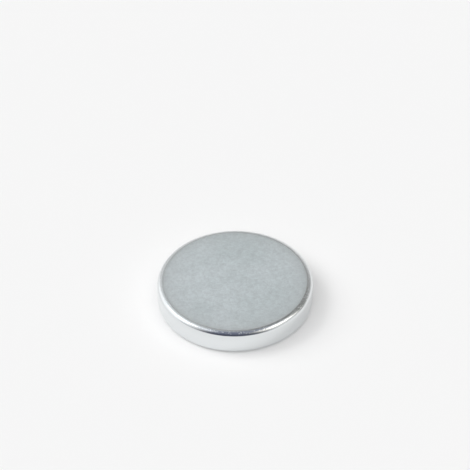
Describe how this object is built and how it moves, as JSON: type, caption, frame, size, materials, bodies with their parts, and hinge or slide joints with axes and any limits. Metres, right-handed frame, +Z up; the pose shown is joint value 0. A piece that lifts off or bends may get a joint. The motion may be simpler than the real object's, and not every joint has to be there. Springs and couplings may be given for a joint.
{
  "type": "disc magnet",
  "caption": "Flat round magnet: a solid plated disc with flat pole faces, a straight ground rim and rounded edges.",
  "frame": {"origin": "centre of the lower pole face, on the surface that the magnet lies on", "axes": "+Z up along the disc's axis, which is also its direction of magnetisation; X and Y across the disc, all directions alike"},
  "size_m": [0.03, 0.03, 0.005],
  "materials": {
    "zinc_plating": "bright zinc plating, satin on the ground pole faces and glossy on the rim and the rounded edges"
  },
  "bodies": {
    "root": {"magnet": "zinc_plating"}
  },
  "joints": []
}
